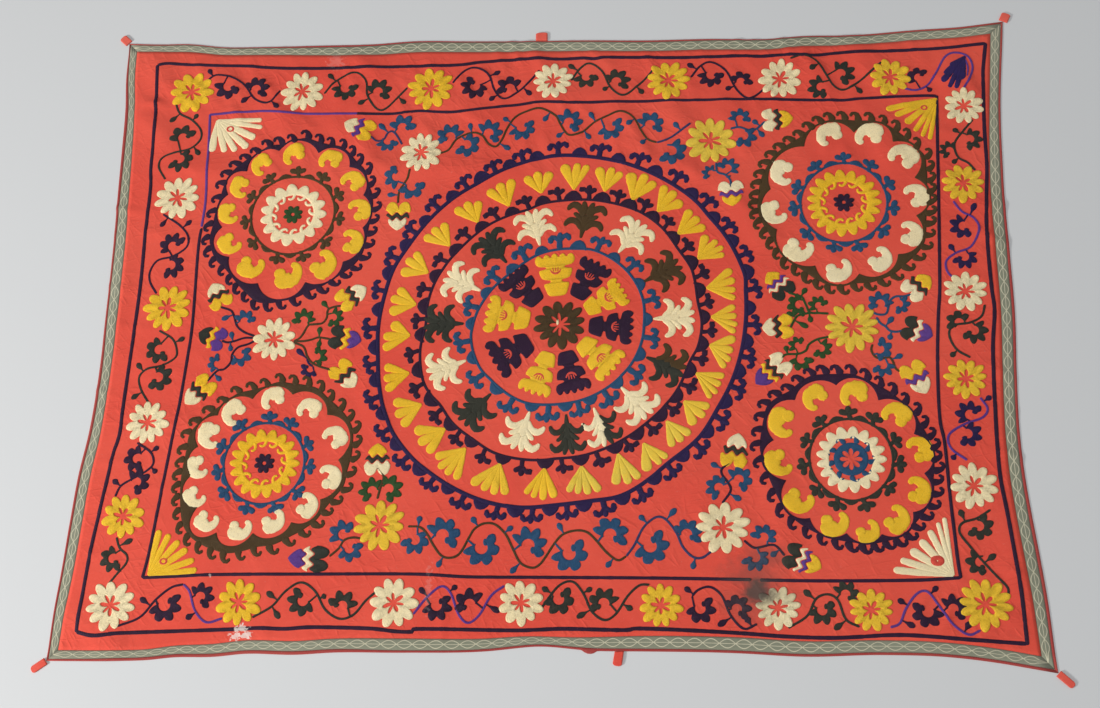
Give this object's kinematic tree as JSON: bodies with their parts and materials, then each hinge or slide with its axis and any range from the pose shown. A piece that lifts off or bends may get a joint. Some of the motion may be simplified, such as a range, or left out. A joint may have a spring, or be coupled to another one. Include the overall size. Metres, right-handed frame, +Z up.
{
  "type": "suzani embroidered textile",
  "caption": "Red cotton cover worked in coloured chain stitch with flower medallions and vine borders, edged in woven braid, with small tape loops, lying face up.",
  "frame": {"origin": "middle of the outline, on the surface that the cloth lies on", "axes": "+X along the long side, +Y across the cloth towards its top edge, +Z up out of the embroidered face"},
  "size_m": [1.4512, 1.0438, 0.005],
  "materials": {
    "cotton": "matt plain-woven cotton, slightly faded",
    "thread": "soft twisted embroidery thread in chain stitch",
    "braid": "woven trim with a faint silky thread",
    "edging": "matt cotton fold",
    "tape": "matt cotton tape"
  },
  "bodies": {
    "root": {"panel": "cotton", "braid_top": "braid", "braid_right": "braid", "braid_bottom": "braid", "braid_left": "braid", "edging_top": "edging", "edging_right": "edging", "edging_bottom": "edging", "edging_left": "edging", "tab_top_left": "tape", "tab_top_middle": "tape", "tab_top_right": "tape", "tab_bottom_left": "tape", "tab_bottom_middle": "tape", "tab_bottom_right": "tape"}
  },
  "joints": []
}
